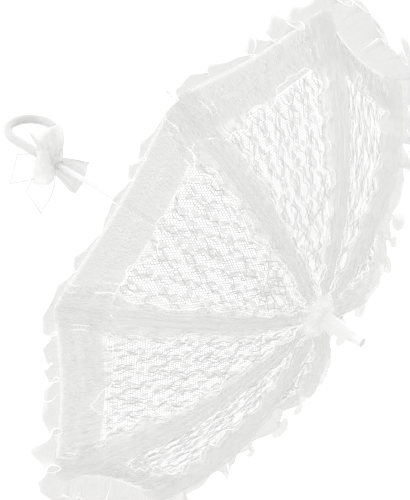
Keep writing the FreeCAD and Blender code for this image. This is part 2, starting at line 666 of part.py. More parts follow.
def ruffle_wing(side, degrees):
    """One side of a seam ruffle, from the rib to its free edge: side is 1 or -1."""
    start = size("ruffle_start")
    end = ARC_LENGTH - size("hem_inset") - size("frill_lift") - size("ruffle_thickness")
    low = size("cloth_lift") + size("cloth_thickness") + size("ruffle_lift")
    high = low + size("ruffle_thickness")
    spans = 16
    sections = []
    for i in range(spans + 1):
        along = i / spans
        distance = start + (end - start) * along
        width = size("ruffle_inner_width") * (1 - along) + size("ruffle_outer_width") * along
        corners = [(low, 0), (low, width), ((low + high) / 2, width), (high, 0)]
        points = [beside_rib(distance, lift, side * across, degrees) for lift, across in corners]
        sections.append(Part.makePolygon(points + points[:1]))
    return Part.makeLoft(sections, True, True)


def make_ruffle(index):
    """Gathered strip sewn over the rib's seam, lying on the gores either side of it."""
    degrees = size("first_rib_angle") + (index - 1) * STEP
    strip = ruffle_wing(1, degrees).fuse(ruffle_wing(-1, degrees))
    solid_piece(strip.removeSplitter(), f"seam_ruffle_{index}")


def make_frill(index):
    """Gathered strip sewn on along the hem, standing out past the rib tips."""
    droop = math.radians(size("frill_droop"))
    out = V(math.cos(droop), 0, -math.sin(droop)) * size("frill_length")
    up = V(math.sin(droop), 0, math.cos(droop)) * size("frill_thickness")
    foot = on_rib(ARC_LENGTH - size("hem_inset"), size("frill_lift"))
    corners = [foot, foot + out, foot + out + up, foot + up]
    angle, gap = size("first_rib_angle") + (index - 1) * STEP, size("seam_gap")
    ends = []
    for degrees, shift in ((angle, gap), (angle + STEP, -gap)):
        points = [turned(corner, degrees, shift) for corner in corners]
        ends.append(Part.makePolygon(points + points[:1]))
    solid_piece(Part.makeLoft(ends, True, True), f"rim_frill_{index}")


def make_rosette():
    inner = "Sizes.ferrule_base / 2 + Sizes.rosette_gap"
    base = f"{CROWN} + {HEAD}"
    puff = primitive("Part::Cone", "RosettePuff", base, Radius1="Sizes.rosette_radius")
    bind(puff, Radius2="Sizes.rosette_top", Height="Sizes.rosette_height")
    depth = "Sizes.rosette_height + 2 * Sizes.overrun"
    hole = primitive("Part::Cylinder", "RosetteHole", f"{base} - Sizes.overrun", Radius=inner, Height=depth)
    piece(boolean("Part::Cut", "Rosette", puff, hole), "rosette")


def lobe(direction, length, width, thickness):
    """Flattened ellipsoid that leaves the knot along direction, its width across the handle's axis."""
    along = V(*direction).normalize()
    flat = along.cross(V(0, 0, 1)).normalize()
    up = flat.cross(along)
    centre = V(0, 0, of(BOW)) + along * (length / 2 + size("handle_diameter") / 4)
    x, y, z = along * (length / 2), up * (width / 2), flat * (thickness / 2)
    stretch = FreeCAD.Matrix(x.x, y.x, z.x, 0, x.y, y.y, z.y, 0, x.z, y.z, z.z, 0, 0, 0, 0, 1)
    shape = Part.makeSphere(1).transformGeometry(stretch)
    shape.translate(centre)
    return shape


def make_bow():
    """Organza ribbon tied round the top of the grip: a knot, two loops and two tails."""
    inner = size("handle_diameter") / 2 + size("cloth_gap")
    foot = V(0, 0, of(BOW) - size("knot_length") / 2)
    knot = Part.makeCylinder(inner + size("knot_thickness"), size("knot_length"), foot)
    loop = [size("loop_length"), size("loop_width"), size("loop_thickness")]
    tail = [size("tail_length"), size("tail_width"), size("tail_thickness")]
    loops = [lobe(way, *loop) for way in ((0, 1, -0.35), (1, -0.4, 0.45))]
    tails = [lobe(way, *tail) for way in ((-0.7, -0.3, -0.6), (-0.6, -0.8, 0))]
    shape = knot.multiFuse(loops + tails)
    hole = Part.makeCylinder(inner, size("grip_length"), V(0, 0, -size("grip_length") / 2))
    solid_piece(shape.cut(hole), "bow")


make_shaft()
make_handle()
make_ferrule()
make_cap()
make_crown()
make_runner()
make_catch("TopCatch", "top_catch", TOP_CATCH)
make_catch("BottomCatch", "bottom_catch", BOTTOM_CATCH)
make_rosette()
make_bow()
for number in range(1, COUNT + 1):
    make_rib(number)
    make_rib_tip(number)
    make_stretcher(number)
    make_gore(number)
    make_ruffle(number)
    make_frill(number)
doc.recompute()

for obj in doc.Objects:
    if "Invalid" in obj.State or "Error" in obj.State:
        raise RuntimeError(f"{obj.Label} failed: {obj.State}")
for obj in pieces:
    if obj.Shape.isNull() or not obj.Shape.isValid() or not obj.Shape.Solids:
        raise RuntimeError(f"{obj.Label} is not a valid solid")

os.makedirs("parts", exist_ok=True)
for obj in pieces:
    obj.Shape.exportStep(f"parts/{obj.Label}.step")
    print(obj.Label, len(obj.Shape.Solids), "solid", round(obj.Shape.Volume / 1000, 2), "cm3")
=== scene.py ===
import json
import math
import bpy
import numpy as np
from mathutils import Matrix, Vector

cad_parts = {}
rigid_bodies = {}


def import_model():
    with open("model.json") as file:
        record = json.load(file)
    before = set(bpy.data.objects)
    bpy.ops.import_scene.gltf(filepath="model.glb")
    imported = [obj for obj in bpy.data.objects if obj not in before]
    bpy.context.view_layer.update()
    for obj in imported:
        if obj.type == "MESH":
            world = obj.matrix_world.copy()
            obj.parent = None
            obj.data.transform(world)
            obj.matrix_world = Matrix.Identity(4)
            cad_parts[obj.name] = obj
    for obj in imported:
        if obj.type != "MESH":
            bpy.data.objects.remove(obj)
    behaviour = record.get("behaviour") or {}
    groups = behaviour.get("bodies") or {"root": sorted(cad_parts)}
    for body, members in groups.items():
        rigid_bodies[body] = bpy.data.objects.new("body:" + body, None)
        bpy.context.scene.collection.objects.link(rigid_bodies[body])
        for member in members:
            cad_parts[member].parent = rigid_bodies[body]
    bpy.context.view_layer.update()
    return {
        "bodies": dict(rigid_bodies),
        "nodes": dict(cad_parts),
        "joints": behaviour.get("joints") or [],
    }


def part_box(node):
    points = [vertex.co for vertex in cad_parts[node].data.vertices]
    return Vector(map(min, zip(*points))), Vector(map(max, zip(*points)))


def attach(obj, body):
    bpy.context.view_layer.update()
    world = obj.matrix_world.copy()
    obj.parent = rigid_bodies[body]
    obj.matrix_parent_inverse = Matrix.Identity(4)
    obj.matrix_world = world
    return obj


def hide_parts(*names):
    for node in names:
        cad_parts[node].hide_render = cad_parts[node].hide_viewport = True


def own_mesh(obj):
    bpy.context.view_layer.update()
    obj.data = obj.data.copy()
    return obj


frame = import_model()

joints = {j["name"]: j for j in frame["joints"]}
ribs = sorted(int(b.split("_")[1]) for b in frame["bodies"] if b.startswith("rib_"))
ribCount = len(ribs)
step = 2 * math.pi / ribCount
print("frame loaded:", len(frame["nodes"]), "nodes")


# Where the ribs are, read from the frame
ballRadius = 0.003  # of the ball on a rib's tip
pivot = Vector(joints["rib_1_hinge"]["pos_m"])
joint = Vector(joints["stretcher_1_hinge"]["pos_m"])
firstAngle = math.atan2(pivot.y, pivot.x)
tipLow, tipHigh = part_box("rib_tip_1")
tipR = (tipHigh.x - ballRadius) / math.cos(firstAngle)
tipZ = tipLow.z + ballRadius
pivotR = math.hypot(pivot.x, pivot.y)
jointR = math.hypot(joint.x, joint.y)


def circleThrough(a, b, c):  # centre and radius of the rib's arc in its own plane
    m = np.array([[b[0] - a[0], b[1] - a[1]], [c[0] - a[0], c[1] - a[1]]]) * 2
    k = [b[0] ** 2 - a[0] ** 2 + b[1] ** 2 - a[1] ** 2, c[0] ** 2 - a[0] ** 2 + c[1] ** 2 - a[1] ** 2]
    centre = np.linalg.solve(m, np.array(k))
    return centre, math.dist(centre, a)


arcCentre, arcRadius = circleThrough((pivotR, pivot.z), (jointR, joint.z), (tipR, tipZ))
pivotTurn = math.atan2(pivot.z - arcCentre[1], pivotR - arcCentre[0])
tipTurn = math.atan2(tipZ - arcCentre[1], tipR - arcCentre[0])
arcLength = arcRadius * (pivotTurn - tipTurn)
print("rib arc", round(arcLength, 4), "m, radius", round(arcRadius, 4), "m")


def ribAngle(i):
    return firstAngle + (i - 1) * step


def onRib(s, lift=0.0):  # distance along the arc and height over it, to radius and height
    turn = pivotTurn - np.asarray(s, float) / arcRadius
    return arcCentre[0] + (arcRadius + lift) * np.cos(turn), arcCentre[1] + (arcRadius + lift) * np.sin(turn)


canopy = {
    "clothLift": 0.0030,  # over the rib's centreline
    "startS": 0.0045,
    "hemS": arcLength - 0.0095,
    "hollow": 0.005,  # how far the cloth pulls in between ribs
    "hemCurve": 0.007,  # how far the hem curves in between ribs
    "borderWidth": 0.060,  # organza band inside the hem
    "foldKeep": 0.02,  # share of its width that a gore's cloth keeps when the canopy is folded
}


def hemAt(f):
    return canopy["hemS"] - canopy["hemCurve"] * np.sin(np.abs(f) * math.pi / 2) ** 2


def onCloth(i, s, f, lift=0.0):  # f is -1..1 from the gore before the rib to the gore after it
    s, f, lift = np.broadcast_arrays(np.asarray(s, float), np.asarray(f, float), np.asarray(lift, float))
    part = np.abs(f)
    pull = canopy["hollow"] * np.sin(part * math.pi / 2) ** 2 * np.clip(s / arcLength, 0, 1)
    r, z = onRib(s, canopy["clothLift"] + lift - pull)
    out = r * (1 - (1 - math.cos(step)) * part / 2)
    side = r * math.sin(step) * f / 2
    return turned(i, out, side, z)


def turned(i, out, side, z):
    a = ribAngle(i)
    return np.stack([out * math.cos(a) - side * math.sin(a), out * math.sin(a) + side * math.cos(a), z], -1)


def hash01(*values):  # number in 0..1 that looks random and is the same every run
    x = math.sin(sum(v * k for v, k in zip(values, (12.9898, 78.233, 37.719)))) * 43758.5453
    return x - math.floor(x)


# Meshes from lists and grids of points
def meshObject(name, points, faces, smooth=True):
    mesh = bpy.data.meshes.new(name)
    mesh.from_pydata([tuple(p) for p in points], [], [tuple(f) for f in faces])
    mesh.validate()
    if smooth:
        mesh.shade_smooth()
    obj = bpy.data.objects.new(name, mesh)
    bpy.context.scene.collection.objects.link(obj)
    return obj


def gridFaces(rows, columns, start=0, closed=False):
    a = np.arange(rows - 1)[:, None] * columns
    b = np.arange(columns if closed else columns - 1)[None, :]
    c = (b + 1) % columns
    faces = np.stack([a + b, a + c, a + columns + c, a + columns + b], -1)
    return faces.reshape(-1, 4) + start


cutSizes = {}  # width and length of each cloth laid out flat


def gridObject(name, points, flip=False, closed=False):  # points is rows x columns x 3
    rows, columns = points.shape[:2]
    faces = gridFaces(rows, columns, closed=closed)
    if flip:
        faces = faces[:, ::-1]
    obj = meshObject(name, points.reshape(-1, 3), faces)
    across = np.linalg.norm(np.diff(points, axis=1), axis=2)
    along = np.linalg.norm(np.diff(points, axis=0), axis=2)
    cutSizes[name] = across.sum(1).mean(), along.sum(0).mean()
    u = np.pad(np.cumsum(across, axis=1), ((0, 0), (1, 0)))
    v = np.pad(np.cumsum(along, axis=0), ((1, 0), (0, 0)))
    flat = np.stack([u, v], -1).reshape(-1, 2)
    loops = np.zeros(len(obj.data.loops), np.int32)
    obj.data.loops.foreach_get("vertex_index", loops)
    layer = obj.data.uv_layers.new(name="cloth")
    layer.data.foreach_set("uv", flat[loops].astype(np.float32).ravel())
    return obj


def joined(name, parts):  # one mesh from several grids
    points, faces, uvs = [], [], []
    for part in parts:
        start = sum(len(p) for p in points)
        mesh = part.data
        points.append(np.array([v.co for v in mesh.vertices]))
        faces += [[start + v for v in p.vertices] for p in mesh.polygons]
        uvs += [tuple(d.uv) for d in mesh.uv_layers[0].data]
        bpy.data.objects.remove(part)
    obj = meshObject(name, np.concatenate(points), faces)
    layer = obj.data.uv_layers.new(name="cloth")
    layer.data.foreach_set("uv", np.array(uvs, np.float32).ravel())
    return obj


# Materials
def nodeMaterial(name, colour, roughness, **sockets):
    mat = bpy.data.materials.new(name)
    mat.use_nodes = True
    shader = mat.node_tree.nodes["Principled BSDF"]
    shader.inputs["Base Color"].default_value = (*colour, 1)
    shader.inputs["Roughness"].default_value = roughness
    for socket, value in sockets.items():
        shader.inputs[socket.replace("_", " ")].default_value = value
    return mat, mat.node_tree, shader


def addNode(tree, kind, **values):
    node = tree.nodes.new(kind)
    for key, value in values.items():
        if key in node.inputs:
            node.inputs[key].default_value = value
        else:
            setattr(node, key, value)
    return node


def tinted(tree, shader, factor, dark, light):  # colour between two tones by a pattern
    mix = addNode(tree, "ShaderNodeMix", data_type="RGBA")
    share, first, second, result = 0, 6, 7, 2  # the colour sockets among the node's many
    mix.inputs[first].default_value = (*dark, 1)
    mix.inputs[second].default_value = (*light, 1)
    tree.links.new(factor, mix.inputs[share])
    tree.links.new(mix.outputs[result], shader.inputs["Base Color"])


def bumped(tree, shader, height, strength, distance):
    bump = addNode(tree, "ShaderNodeBump", Strength=strength, Distance=distance)
    tree.links.new(height, bump.inputs["Height"])
    tree.links.new(bump.outputs["Normal"], shader.inputs["Normal"])


def lit(shader, strength):  # painted light: a glow added to the surface, which stands for light that comes through thin cloth from behind; on the plastic pieces it is painted brightness, and on the floor it keeps the floor evenly white
    shader.inputs["Emission Color"].default_value = (1, 1, 1, 1)
    shader.inputs["Emission Strength"].default_value = strength


def noise(tree, **values):  # noise that stays where it is on the piece
    place = addNode(tree, "ShaderNodeTexCoord")
    pattern = addNode(tree, "ShaderNodeTexNoise", **values)
    tree.links.new(place.outputs["Object"], pattern.inputs["Vector"])
    return pattern.outputs["Fac"]


def bands(tree, coordinate, direction, **values):
    place = addNode(tree, "ShaderNodeTexCoord")
    wave = addNode(tree, "ShaderNodeTexWave", wave_type="BANDS", bands_direction=direction, **values)
    tree.links.new(place.outputs[coordinate], wave.inputs["Vector"])
    return wave.outputs["Fac"]


def makeOrganza(name, dark, light, alpha):
    mat, tree, shader = nodeMaterial(name, light, roughness=0.5, Alpha=alpha, Sheen_Weight=0.25)
    shader.inputs["Sheen Roughness"].default_value = 0.35
    # painted light: the organza glows, standing for light that comes through it
    lit(shader, paintedGlow["organza"])
    crinkle = noise(tree, Scale=220.0, Detail=4.0, Roughness=0.6)
    tinted(tree, shader, crinkle, dark, light)
    weave = addNode(tree, "ShaderNodeMath", operation="ADD")  # two crossed sets of threads
    for socket, direction in enumerate(("X", "Y")):
        tree.links.new(bands(tree, "UV", direction, Scale=480.0), weave.inputs[socket])
    height = addNode(tree, "ShaderNodeMath", operation="MULTIPLY_ADD")
    tree.links.new(crinkle, height.inputs[0])
    height.inputs[1].default_value = 3.0  # how much the crinkles outweigh the threads
    tree.links.new(weave.outputs[0], height.inputs[2])
    bumped(tree, shader, height.outputs[0], strength=0.18, distance=0.0003)
    return mat


def makeThread(name, dark, light, strength):
    mat, tree, shader = nodeMaterial(name, light, roughness=0.62, Sheen_Weight=0.3)
    # painted light: the thread glows by the given strength, which lifts its shade
    lit(shader, strength)
    fibre = noise(tree, Scale=1400.0, Detail=2.0)
    tinted(tree, shader, fibre, dark, light)
    bumped(tree, shader, fibre, strength=0.5, distance=0.0003)
    return mat


def makeSatin(name, dark, light):
    mat, tree, shader = nodeMaterial(name, light, roughness=0.34, Sheen_Weight=0.4, Anisotropic=0.3)
    # painted light: the satin glows, which lifts the shade along the bound edges
    lit(shader, paintedGlow["satin"])
    ribbed = bands(tree, "Object", "X", Scale=600.0, Distortion=2.0)
    tinted(tree, shader, ribbed, dark, light)
    bumped(tree, shader, ribbed, strength=0.2, distance=0.0002)
    return mat


def makePlastic(name, dark, light, roughness, coat):
    mat, tree, shader = nodeMaterial(name, light, roughness, Coat_Weight=coat, Coat_Roughness=0.08)
    # painted light: the plastic glows, so it looks brighter than the lamps light it
    lit(shader, paintedGlow["plastic"])
    tinted(tree, shader, noise(tree, Scale=35.0, Detail=3.0), dark, light)
    bumped(tree, shader, noise(tree, Scale=260.0, Detail=2.0), strength=0.12, distance=0.0003)
    return mat


def makeEnamel(name, dark, light):
    mat, tree, shader = nodeMaterial(name, light, roughness=0.32, Coat_Weight=0.3, Coat_Roughness=0.15)
    peel = noise(tree, Scale=700.0, Detail=2.0)
    tinted(tree, shader, peel, dark, light)
    bumped(tree, shader, peel, strength=0.15, distance=0.0002)
    return mat


def makeSteel(name, colour):
    mat, tree, shader = nodeMaterial(name, colour, roughness=0.28, Metallic=1.0)
    drawn = noise(tree, Scale=900.0, Detail=3.0)
    spread = addNode(tree, "ShaderNodeMapRange")
    spread.inputs["To Min"].default_value = 0.2  # smoothest
    spread.inputs["To Max"].default_value = 0.4  # roughest
    tree.links.new(drawn, spread.inputs["Value"])
    tree.links.new(spread.outputs["Result"], shader.inputs["Roughness"])
    bumped(tree, shader, drawn, strength=0.15, distance=0.0002)
    return mat


# painted light: how strongly each finish glows, which lifts its shade as light through the cloth would and
# brightens the plastic
paintedGlow = {"organza": 0.20, "thread": 0.17, "motif": 0.20, "satin": 0.30, "plastic": 0.09}
tones = {  # darkest and lightest tone of each finish
    "organza": ((0.70, 0.70, 0.695), (0.80, 0.80, 0.79)),
    "rosette": ((0.84, 0.84, 0.835), (0.92, 0.92, 0.915)),
    "bow": ((0.63, 0.63, 0.625), (0.77, 0.77, 0.765)),
    "bowTails": ((0.56, 0.56, 0.555), (0.70, 0.70, 0.695)),
    "thread": ((0.62, 0.62, 0.615), (0.78, 0.78, 0.775)),
    "motif": ((0.80, 0.80, 0.795), (0.94, 0.94, 0.935)),
    "cord": ((0.58, 0.58, 0.575), (0.70, 0.70, 0.695)),
    "satin": ((0.88, 0.88, 0.87), (0.95, 0.95, 0.94)),
    "handle": ((0.62, 0.62, 0.615), (0.70, 0.70, 0.695)),
    "ferrule": ((0.90, 0.90, 0.895), (0.94, 0.94, 0.935)),
    "enamel": ((0.88, 0.88, 0.88), (0.93, 0.93, 0.93)),
}
cover = {  # how much of what is behind it each organza hides
    "border": 0.72, "rosette": 0.70, "flounce": 0.34, "ruffle": 0.42,
    "frill": 0.78, "bow": 0.80, "bowTails": 0.42,
}
borderOrganza = makeOrganza("borderOrganza", *tones["organza"], cover["border"])
rosetteOrganza = makeOrganza("rosetteOrganza", *tones["rosette"], cover["rosette"])
flounceOrganza = makeOrganza("flounceOrganza", *tones["organza"], cover["flounce"])
ruffleOrganza = makeOrganza("ruffleOrganza", *tones["organza"], cover["ruffle"])
frillOrganza = makeOrganza("frillOrganza", *tones["organza"], cover["frill"])
bowOrganza = makeOrganza("bowOrganza", *tones["bow"], cover["bow"])
tailOrganza = makeOrganza("tailOrganza", *tones["bowTails"], cover["bowTails"])
laceThread = makeThread("laceThread", *tones["thread"], paintedGlow["thread"])
motifThread = makeThread("motifThread", *tones["motif"], paintedGlow["motif"])
cordThread = makeThread("cordThread", *tones["cord"], paintedGlow["thread"])
bindingSatin = makeSatin("bindingSatin", *tones["satin"])
handlePlastic = makePlastic("handlePlastic", *tones["handle"], roughness=0.16, coat=0.5)
ferrulePlastic = makePlastic("ferrulePlastic", *tones["ferrule"], roughness=0.28, coat=0.3)
enamel = makeEnamel("enamel", *tones["enamel"])
springSteel = makeSteel("springSteel", (0.78, 0.78, 0.8))
print("materials made")


# Geometry node trees
def newTree(name, inputs):
    tree = bpy.data.node_groups.new(name, "GeometryNodeTree")
    tree.interface.new_socket("Geometry", in_out="INPUT", socket_type="NodeSocketGeometry")
    for label, kind, value in inputs + [("Finish", "NodeSocketMaterial", None)]:
        socket = tree.interface.new_socket(label, in_out="INPUT", socket_type=kind)
        if value is not None:
            socket.default_value = value
    tree.interface.new_socket("Geometry", in_out="OUTPUT", socket_type="NodeSocketGeometry")
    return tree, tree.nodes.new("NodeGroupInput")


def closeTree(tree, given, geometry):  # every tree ends with real geometry and its finish
    real = tree.nodes.new("GeometryNodeRealizeInstances")
    finish = tree.nodes.new("GeometryNodeSetMaterial")
    result = tree.nodes.new("NodeGroupOutput")
    tree.links.new(geometry, real.inputs["Geometry"])
    tree.links.new(real.outputs["Geometry"], finish.inputs["Geometry"])
    tree.links.new(given.outputs["Finish"], finish.inputs["Material"])
    tree.links.new(finish.outputs["Geometry"], result.inputs["Geometry"])
    return tree


def vectorAttribute(tree, name):
    node = addNode(tree, "GeometryNodeInputNamedAttribute", data_type="FLOAT_VECTOR", Name=name)
    return node.outputs[0]


def makeScatterTree():  # a small piece of work stood on every point, by the point's own directions
    tree, given = newTree("scatter", [("Piece", "NodeSocketObject", None), ("Size", "NodeSocketFloat", 1.0)])
    link = tree.links.new
    info = tree.nodes.new("GeometryNodeObjectInfo")
    link(given.outputs["Piece"], info.inputs["Object"])
    turn = addNode(tree, "FunctionNodeAxesToRotation", primary_axis="Z", secondary_axis="X")
    link(vectorAttribute(tree, "faceWay"), turn.inputs["Primary Axis"])
    link(vectorAttribute(tree, "longWay"), turn.inputs["Secondary Axis"])
    scale = addNode(tree, "ShaderNodeVectorMath", operation="SCALE")
    link(vectorAttribute(tree, "pointSize"), scale.inputs[0])
    link(given.outputs["Size"], scale.inputs["Scale"])
    place = tree.nodes.new("GeometryNodeInstanceOnPoints")
    link(given.outputs["Geometry"], place.inputs["Points"])
    link(info.outputs["Geometry"], place.inputs["Instance"])
    link(turn.outputs["Rotation"], place.inputs["Rotation"])
    link(scale.outputs["Vector"], place.inputs["Scale"])
    return closeTree(tree, given, place.outputs["Instances"])


def makeBindingTree():  # a rolled edge that follows lines
    tree, given = newTree("binding", [("Radius", "NodeSocketFloat", 0.0008), ("Sides", "NodeSocketInt", 5)])
    link = tree.links.new
    lines = tree.nodes.new("GeometryNodeMeshToCurve")
    link(given.outputs["Geometry"], lines.inputs["Mesh"])
    ring = tree.nodes.new("GeometryNodeCurvePrimitiveCircle")
    link(given.outputs["Radius"], ring.inputs["Radius"])
    link(given.outputs["Sides"], ring.inputs["Resolution"])
    tube = tree.nodes.new("GeometryNodeCurveToMesh")
    tube.inputs["Fill Caps"].default_value = True
    link(lines.outputs["Curve"], tube.inputs["Curve"])
    link(ring.outputs["Curve"], tube.inputs["Profile Curve"])
    smooth = tree.nodes.new("GeometryNodeSetShadeSmooth")
    link(tube.outputs["Mesh"], smooth.inputs["Geometry"])
    return closeTree(tree, given, smooth.outputs["Geometry"])


scatterTree = makeScatterTree()
bindingTree = makeBindingTree()
print("geometry node trees made")


def grow(name, base, tree, **values):  # runs a tree on base and leaves a plain mesh in its place
    modifier = base.modifiers.new("grow", "NODES")
    modifier.node_group = tree
    for item in tree.interface.items_tree:
        if item.in_out == "INPUT" and item.name in values:
            modifier[item.identifier] = values[item.name]
    base.update_tag()
    depsgraph = bpy.context.evaluated_depsgraph_get()
    mesh = bpy.data.meshes.new_from_object(base.evaluated_get(depsgraph))
    bpy.data.objects.remove(base)
    mesh.name = name
    obj = bpy.data.objects.new(name, mesh)
    bpy.context.scene.collection.objects.link(obj)
    return obj


def boundEdge(name, lines, radius, finish=bindingSatin, sides=5):
    return grow(name, lineCloud(lines), bindingTree, Radius=radius, Sides=sides, Finish=finish)


def pointCloud(points, faceWay, longWay, sizes):
    obj = meshObject("points", points, [], smooth=False)
    for name, data in (("faceWay", faceWay), ("longWay", longWay), ("pointSize", sizes)):
        layer = obj.data.attributes.new(name, "FLOAT_VECTOR", "POINT")
        layer.data.foreach_set("vector", np.asarray(data, np.float32).ravel())
    return obj


def lineCloud(lines):  # several open lines as mesh edges
    mesh = bpy.data.meshes.new("lines")
    points, edges = [], []
    for line in lines:
        start = len(points)
        points += [tuple(p) for p in line]
        edges += [(start + k, start + k + 1) for k in range(len(line) - 1)]
    mesh.from_pydata(points, edges, [])
    obj = bpy.data.objects.new("lines", mesh)
    bpy.context.scene.collection.objects.link(obj)
    return obj


def merged(name, parts):  # one mesh from parts, each given with its own material
    points, faces, which = [], [], []
    for number, (part, _) in enumerate(parts):
        mesh = part.data
        start = len(points)
        points += [v.co[:] for v in mesh.vertices]
        faces += [[start + v for v in p.vertices] for p in mesh.polygons]
        which += [number] * len(mesh.polygons)
        bpy.data.objects.remove(part)
    obj = meshObject(name, points, faces)
    for _, material in parts:
        obj.data.materials.append(material)
    obj.data.polygons.foreach_set("material_index", which)
    return obj


def softPiece(obj, i, material):  # rides on a rib
    if material:
        obj.data.materials.clear()
        obj.data.materials.append(material)
    body = f"rib_{i}"
    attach(obj, body)
    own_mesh(obj)
    return obj


# Lace net, its leaf motifs and the thick threads between them
net = {
    "pitch": 0.0037,
    "threadHalf": 0.00048,
    "seamInset": 0.006,  # bare strip beside the rib, under the ruffle
    "firstS": 0.030,
    "rowPitch": 0.0118,
    "waveLength": 0.070,
    "waveHeight": 0.0035,
    "waveLean": 230,  # how much each row's sway runs ahead of its neighbour's
    "seed": 7,
}
leaves = {
    "length": 0.0135,
    "width": 0.0062,
    "rise": 0.0003,
    "lift": 0.0003,
    "step": 0.0150,
    "sidePoints": 5,
    "bulge": 0.25,  # how far the widest place is from the middle
    "jitter": 0.003,
    "leans": (-0.34, 0.42),
    "turn": 0.5,
    "sizes": (0.75, 0.55),  # smallest, and how much larger the largest is
    "widths": (0.8, 0.3),  # the same for the width
}
cords = {
    "radius": 0.00042,
    "step": 0.003,
    "lift": 0.0006,
    "sways": [(0.0022, 290, 1), (0.0012, 610, 2)],  # height, turn a metre, share of the strand's phase
    "gapTurn": 105,
    "gapAt": -0.75,
    "overlap": 0.001,  # how far a cord runs on over the middle of the gore
}
halfStep = step / 2
profileS = np.linspace(net["firstS"], arcLength, 600)
profileR, profileZ = onRib(profileS, canopy["clothLift"])
profileR = profileR * math.cos(halfStep)
profileV = np.concatenate([[0], np.cumsum(np.hypot(np.diff(profileR), np.diff(profileZ)))])


# From the flat pattern to its place: u across the gore from its middle, v down from the crown
def onGore(i, u, v, lift=0.0):
    s = np.interp(v, profileV, profileS)
    half = np.interp(v, profileV, profileR) * math.tan(halfStep)
    f = 1 - np.clip(np.abs(u) / half, 0, 1)  # 0 at the rib, 1 in the middle
    near = onCloth(i, s, f, lift)
    far = onCloth(i + 1, s, -f, lift)
    return np.where((u <= 0)[:, None], near, far)


def goreWays(i, u, v):  # normal, sideways and downward directions of the cloth on gore i
    small = 0.0005
    down = onGore(i, u, v + small) - onGore(i, u, v)
    a = ribAngle(i) + halfStep
    across = np.tile([-math.sin(a), math.cos(a), 0.0], (len(u), 1))
    normal = np.cross(down, across)
    normal *= np.sign(normal[:, 2])[:, None]
    normal /= np.linalg.norm(normal, axis=1)[:, None]
    down /= np.linalg.norm(down, axis=1)[:, None]
    return normal, across, down


def inLace(u, v):
    s = np.interp(v, profileV, profileS)
    half = np.interp(v, profileV, profileR) * math.tan(halfStep)
    f = 1 - np.abs(u) / half
    edge = hemAt(f) - canopy["borderWidth"]
    return (s < edge) & (half - np.abs(u) > net["seamInset"])


def cellPiece():
    pitch, w = net["pitch"], net["threadHalf"]
    outer, inner = pitch / math.sqrt(3), (pitch - 2 * w) / math.sqrt(3)
    turn = [math.radians(30 + 60 * k) for k in range(6)]
    points = [(r * math.cos(t), r * math.sin(t), 0) for r in (outer, inner) for t in turn]
    faces = [(k, (k + 1) % 6, 6 + (k + 1) % 6, 6 + k) for k in range(6)]
    return meshObject("laceCell", points, faces, smooth=False)


def leafPiece():
    n = leaves["sidePoints"]
    length, width = leaves["length"] / 2, leaves["width"] / 2
    rim = []
    for side in (1, -1):
        for k in range(n):
            x = length * (1 - 2 * k / n) * side
            rim.append((x, side * width * (1 - (x / length) ** 2) * (1 + leaves["bulge"] * x / length), 0))
    count = len(rim)
    faces = [(0, 1 + k, 1 + (k + 1) % count) for k in range(count)]
    return meshObject("laceLeaf", [(0, 0, leaves["rise"])] + rim, faces)


def leafCurve(u, v):  # centreline of a motif row: how far it sways
    return net["waveHeight"] * np.sin(2 * math.pi * v / net["waveLength"] + u * net["waveLean"])


def netPoints(i, uMax, vMax):  # one hexagon of net at every point of a staggered grid
    pitch = net["pitch"]
    rows = np.arange(0, vMax, pitch * math.sqrt(3) / 2)
    columns = np.arange(-math.ceil(uMax / pitch), math.ceil(uMax / pitch) + 1) * pitch
    u = np.concatenate([columns + (pitch / 2 if k % 2 else 0) for k in range(len(rows))])
    v = np.repeat(rows, len(columns))
    keep = inLace(u, v)
    u, v = u[keep], v[keep]
    normal, across, _ = goreWays(i, u, v)
    return u, (onGore(i, u, v), normal, across, np.ones((len(u), 3)))


def leafPoints(i, uMax, vMax):  # leaves in swaying rows, each turned and sized a little differently
    rowCount = int(uMax / net["rowPitch"])
    u, v, turn, big = [], [], [], []
    for row in range(-rowCount, rowCount + 1):
        offset = hash01(row, i, net["seed"]) * leaves["step"]
        for k in range(int(vMax / leaves["step"])):
            v.append(offset + k * leaves["step"])
            u.append(row * net["rowPitch"] + (hash01(row, k, i) - 0.5) * leaves["jitter"])
            turn.append(leaves["leans"][(k + row) % 2] + (hash01(k, row, i + 3) - 0.5) * leaves["turn"])
            big.append(leaves["sizes"][0] + leaves["sizes"][1] * hash01(k, i, row + 5))
    u, v, turn, big = map(np.array, (u, v, turn, big))
    u = u + leafCurve(u, v)
    keep = inLace(u, v)
    u, v, turn, big = u[keep], v[keep], turn[keep], big[keep]
    normal, across, down = goreWays(i, u, v)
    way = down * np.cos(turn)[:, None] + across * np.sin(turn)[:, None]
    size = np.stack([big, leaves["widths"][0] + leaves["widths"][1] * big, np.ones_like(big)], -1)
    return u, (onGore(i, u, v, leaves["lift"]), normal, way, size)


def runsOf(keep):  # stretches of a line that are kept, apart from the very short ones
    edges = np.flatnonzero(np.diff(np.concatenate([[0], keep.astype(int), [0]])))
    return [(a, b) for a, b in zip(edges[::2], edges[1::2]) if b - a > 2]


def cordLines(i, uMax, vMax):  # thick threads that wander down the gore between the leaves, by owning rib
    lines = {i: [], i % ribCount + 1: []}
    v = np.arange(0, vMax, cords["step"])
    rows = int(uMax / net["rowPitch"]) + 1
    for row in range(-rows, rows + 1):
        for strand in (0, 1):
            phase = 7 * hash01(row, strand, i)
            sway = sum(height * np.sin(v * turn + share * phase) for height, turn, share in cords["sways"])
            u = (row + 0.5 * strand) * net["rowPitch"] + leafCurve(v * 0 + row * net["rowPitch"], v) + sway
            kept = inLace(u, v) & (np.sin(v * cords["gapTurn"] + phase * 3) > cords["gapAt"])
            for owner, half in ((i, u <= cords["overlap"]), (i % ribCount + 1, u > -cords["overlap"])):
                for a, b in runsOf(kept & half):
                    lines[owner].append(onGore(i, u[a:b], v[a:b], cords["lift"]))
    return lines


